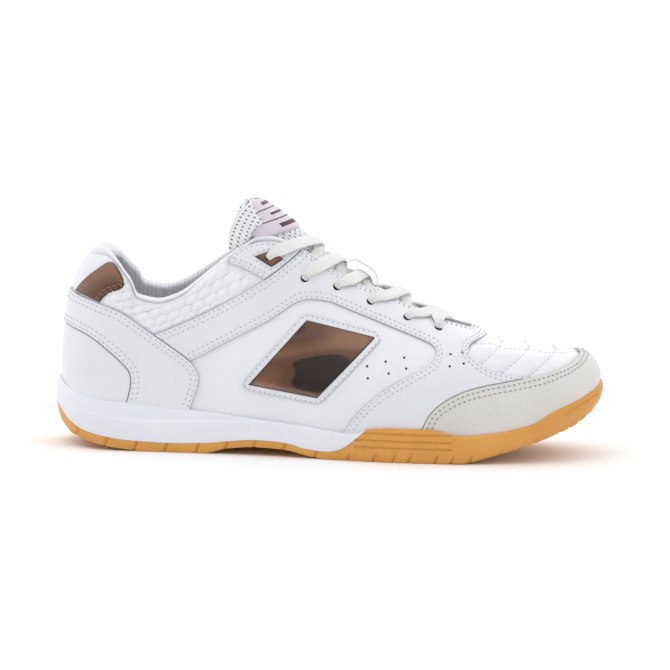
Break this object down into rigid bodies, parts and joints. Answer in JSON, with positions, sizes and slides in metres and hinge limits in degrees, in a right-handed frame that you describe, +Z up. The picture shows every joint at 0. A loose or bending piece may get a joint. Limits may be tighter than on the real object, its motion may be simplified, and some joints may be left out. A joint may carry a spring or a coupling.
{
  "type": "indoor soccer shoe",
  "caption": "Low indoor soccer shoe with a gum rubber cupsole, white leather panels, suede toe cap, padded collar, mesh tongue and flat laces; right foot.",
  "frame": {"origin": "middle of the shoe's outline, on the floor that it stands on", "axes": "+X along the shoe towards the toe, +Y towards the medial side, +Z up"},
  "size_m": [0.288, 0.1004, 0.131],
  "materials": {
    "gum_rubber": "smooth gum rubber",
    "foam": "moulded foam skin",
    "leather": "smooth, semi-matt",
    "suede": "brushed suede",
    "patent": "patent bronze",
    "mesh": "perforated mesh",
    "footbed": "brushed textile",
    "label": "woven, satin",
    "lace": "flat woven"
  },
  "bodies": {
    "root": {"outsole": "gum_rubber", "midsole": "foam", "upper": "leather", "insole": "footbed", "tongue": "mesh", "tongue_label": "label", "lace_keeper": "leather", "heel_counter": "leather", "heel_band": "leather", "toe_cap": "suede", "saddle": "leather", "eyelet_tab_lateral": "leather", "eyelet_tab_medial": "leather", "eyelet_diamond_lateral": "patent", "eyelet_diamond_medial": "patent", "collar_patch_lateral": "patent", "collar_patch_medial": "patent", "side_badge": "patent", "laces": "lace"}
  },
  "joints": []
}
